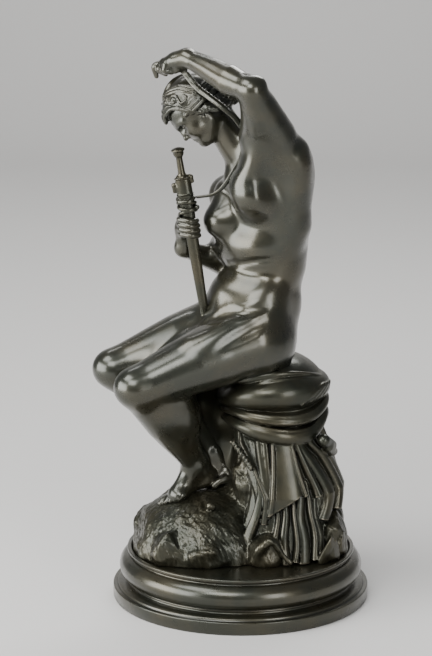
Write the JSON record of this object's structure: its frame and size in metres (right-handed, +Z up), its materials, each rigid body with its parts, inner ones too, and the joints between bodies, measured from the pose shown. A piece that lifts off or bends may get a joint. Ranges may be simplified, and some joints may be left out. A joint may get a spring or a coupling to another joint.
{
  "type": "statuette",
  "caption": "Bronze statuette of a seated helmeted woman on a draped rock, one arm over her head and a sheathed sword in her other hand, on a round moulded plinth.",
  "frame": {"origin": "centre of the plinth's flat underside", "axes": "+Z up; the woman faces -X and her left side is towards -Y, the pictured side"},
  "size_m": [0.1927, 0.18, 0.3873],
  "materials": {
    "plinth_bronze": "dark brown patina, waxed and polished",
    "rock_bronze": "dark brown patina, rough cast",
    "figure_bronze": "dark brown patina, waxed and polished",
    "sword_bronze": "dark brown patina, rubbed on its edges"
  },
  "bodies": {
    "root": {"plinth": "plinth_bronze", "seat": "rock_bronze", "figure": "figure_bronze", "sword": "sword_bronze"}
  },
  "joints": []
}
